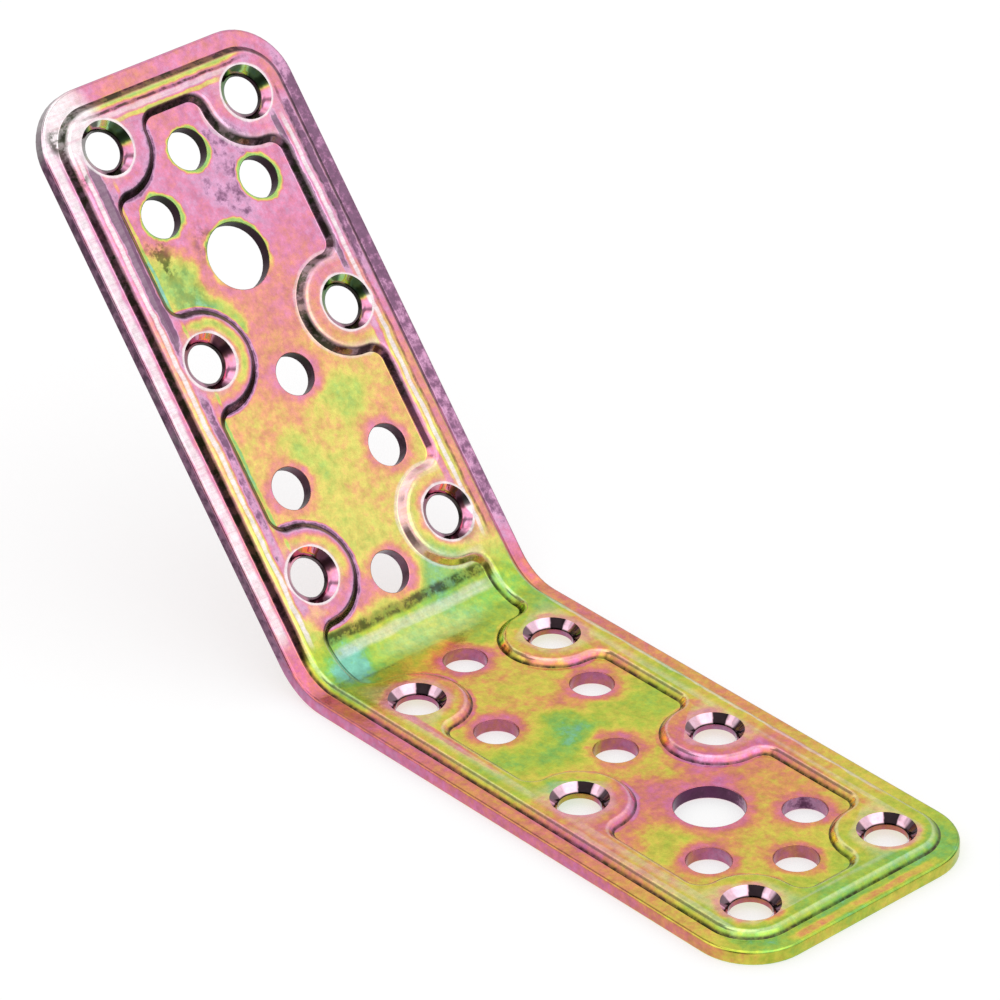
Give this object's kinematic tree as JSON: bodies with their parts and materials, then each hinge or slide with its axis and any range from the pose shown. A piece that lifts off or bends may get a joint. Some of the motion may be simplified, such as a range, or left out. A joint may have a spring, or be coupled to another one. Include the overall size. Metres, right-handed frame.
{
  "type": "angled connector",
  "caption": "Perforated sheet-steel strip bent into an obtuse angle, with a raised band round each leg, countersunk screw holes in round pads, and plain holes down the panel.",
  "frame": {"origin": "on the flat back face of the base leg, midway between its middle pair of screw holes", "axes": "+X along the base leg away from the bend, +Y across the strip, +Z out of the back face into the inside of the angle; the raised leg climbs towards -X and +Z"},
  "size_m": [0.1197, 0.0356, 0.0569],
  "materials": {
    "plated_steel": "zinc plated and yellow passivated, semi-gloss, with an iridescent pink and green cast"
  },
  "bodies": {
    "root": {"connector": "plated_steel"}
  },
  "joints": []
}
